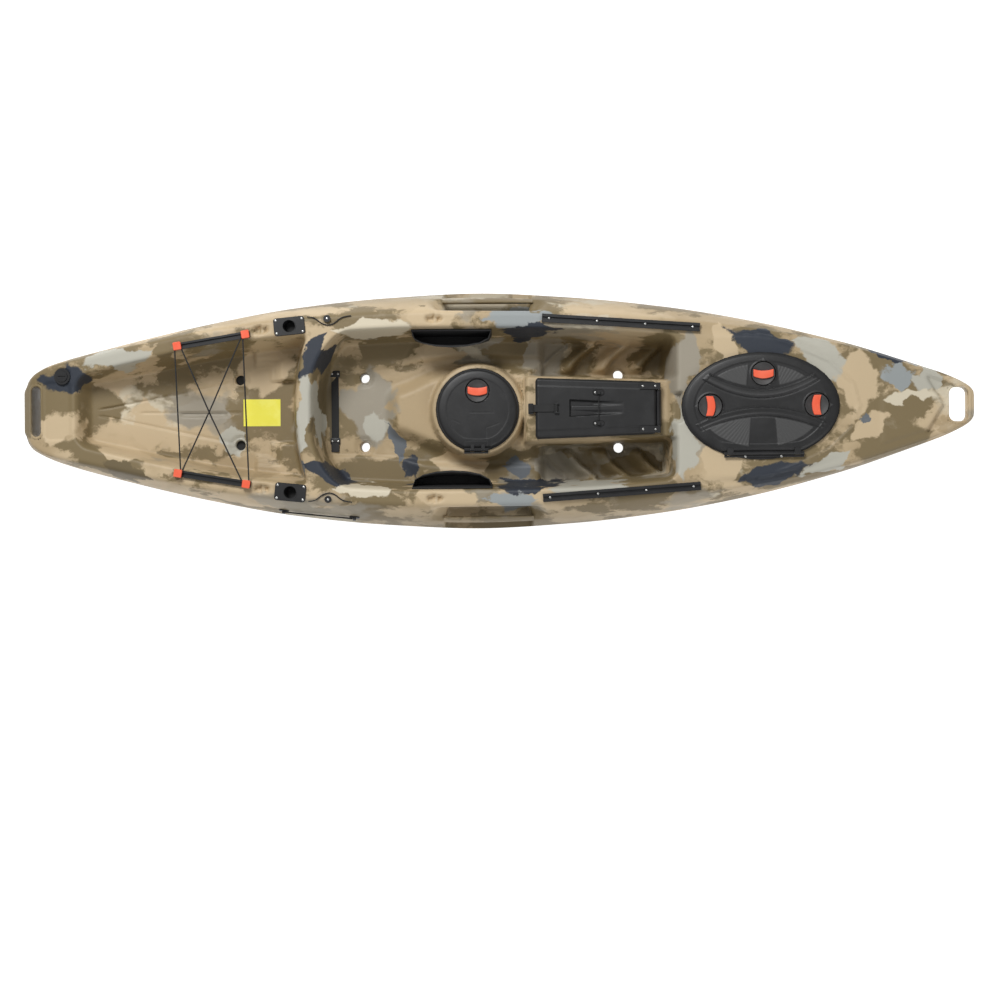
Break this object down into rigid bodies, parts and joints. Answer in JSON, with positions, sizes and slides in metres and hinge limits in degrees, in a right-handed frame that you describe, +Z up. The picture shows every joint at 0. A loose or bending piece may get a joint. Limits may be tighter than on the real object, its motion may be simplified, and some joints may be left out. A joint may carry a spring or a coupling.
{
  "type": "fishing kayak",
  "caption": "Sit-on-top fishing kayak with opening hatches, a lidded console, rod holders, gear tracks, a bungee-covered tank well and a keel wheel.",
  "frame": {"origin": "under the middle of the hull, on the ground it stands on", "axes": "+X towards the bow, +Y to port, +Z up"},
  "size_m": [3.18, 0.809, 0.37],
  "materials": {
    "hull": "matte, mottled tan, brown and slate",
    "black_plastic": "satin",
    "orange_plastic": "satin",
    "rubber": "matte",
    "tyre": "matte",
    "cord": "woven",
    "steel": "brushed"
  },
  "bodies": {
    "hull": {"axle_cap_port": "black_plastic", "axle_cap_starboard": "black_plastic", "bow_hatch_frame": "black_plastic", "bow_hatch_seal": "rubber", "bow_hinge_base": "black_plastic", "bow_hinge_pin": "steel", "bungee_hook_port_aft": "orange_plastic", "bungee_hook_port_fore": "orange_plastic", "bungee_hook_starboard_aft": "orange_plastic", "bungee_hook_starboard_fore": "orange_plastic", "console_hinge_mount": "black_plastic", "console_hinge_pin": "steel", "console_tray": "black_plastic", "cord_button_port": "black_plastic", "cord_button_starboard": "black_plastic", "drain_ring": "black_plastic", "gear_track_port": "black_plastic", "gear_track_starboard": "black_plastic", "hull_bottom": "hull", "hull_deck": "hull", "mesh_pocket_port": "cord", "mesh_pocket_starboard": "cord", "mid_hatch_frame": "black_plastic", "mid_hatch_seal": "rubber", "mid_hinge_base": "black_plastic", "mid_hinge_pin": "steel", "paddle_cord_port": "cord", "paddle_cord_starboard": "cord", "rod_holder_port": "black_plastic", "rod_holder_starboard": "black_plastic", "seat_strap": "cord", "side_cord": "cord", "side_eye_aft": "black_plastic", "side_eye_fore": "black_plastic", "stern_bungee": "cord", "stern_track_port": "black_plastic", "stern_track_starboard": "black_plastic", "strap_buckle": "black_plastic", "strap_catch": "black_plastic", "wheel_axle": "steel"},
    "wheel": {"keel_wheel": "black_plastic", "wheel_tyre": "tyre"},
    "bow_lid": {"bow_hatch_lid": "black_plastic"},
    "bow_latch_aft": {"bow_latch_aft": "orange_plastic"},
    "bow_latch_fore": {"bow_latch_fore": "orange_plastic"},
    "bow_latch_port": {"bow_latch_port": "orange_plastic"},
    "mid_lid": {"mid_hatch_lid": "black_plastic"},
    "mid_latch": {"mid_latch": "orange_plastic"},
    "console_lid": {"console_lid": "black_plastic", "console_leaf_port": "black_plastic", "console_leaf_starboard": "black_plastic", "console_eye_port": "black_plastic", "console_eye_starboard": "black_plastic", "console_cord": "cord", "strap_clip": "black_plastic", "strap_pin": "steel"},
    "console_strap": {"console_strap": "rubber"},
    "drain_plug": {"drain_plug": "black_plastic"}
  },
  "joints": [
    {"name": "wheel_spin", "type": "hinge", "parent": "hull", "child": "wheel", "pos_m": [-1.395, 0, 0.0735], "axis": [0, 1, 0], "continuous": true},
    {"name": "bow_lid_hinge", "type": "hinge", "parent": "hull", "child": "bow_lid", "pos_m": [0.89164, -0.158, 0.33428], "axis": [0.9958, 0, 0.0919], "range_deg": [0, 105]},
    {"name": "bow_latch_aft_turn", "type": "hinge", "parent": "bow_lid", "child": "bow_latch_aft", "pos_m": [0.72686, 0, 0.3243], "axis": [-0.0919, 0, 0.9958], "range_deg": [0, 90]},
    {"name": "bow_latch_fore_turn", "type": "hinge", "parent": "bow_lid", "child": "bow_latch_fore", "pos_m": [1.07438, 0, 0.35637], "axis": [-0.0919, 0, 0.9958], "range_deg": [0, 90]},
    {"name": "bow_latch_port_turn", "type": "hinge", "parent": "bow_lid", "child": "bow_latch_port", "pos_m": [0.90112, 0.106, 0.34038], "axis": [-0.0919, 0, 0.9958], "range_deg": [0, 90]},
    {"name": "mid_lid_hinge", "type": "hinge", "parent": "hull", "child": "mid_lid", "pos_m": [-0.049, -0.136, 0.2148], "axis": [1, 0, 0], "range_deg": [0, 105]},
    {"name": "mid_latch_turn", "type": "hinge", "parent": "mid_lid", "child": "mid_latch", "pos_m": [-0.049, 0.064, 0.22], "axis": [0, 0, 1], "range_deg": [0, 90]},
    {"name": "console_lid_hinge", "type": "hinge", "parent": "hull", "child": "console_lid", "pos_m": [0.562, 0, 0.2575], "axis": [0, 1, 0], "range_deg": [0, 100]},
    {"name": "console_strap_hinge", "type": "hinge", "parent": "console_lid", "child": "console_strap", "pos_m": [0.2175, 0, 0.2724], "axis": [0, 1, 0], "range_deg": [0, 150]},
    {"name": "drain_plug_turn", "type": "hinge", "parent": "hull", "child": "drain_plug", "pos_m": [-1.4426, 0.1165, 0.26928], "axis": [-0.0907, 0, 0.9959], "continuous": true}
  ]
}
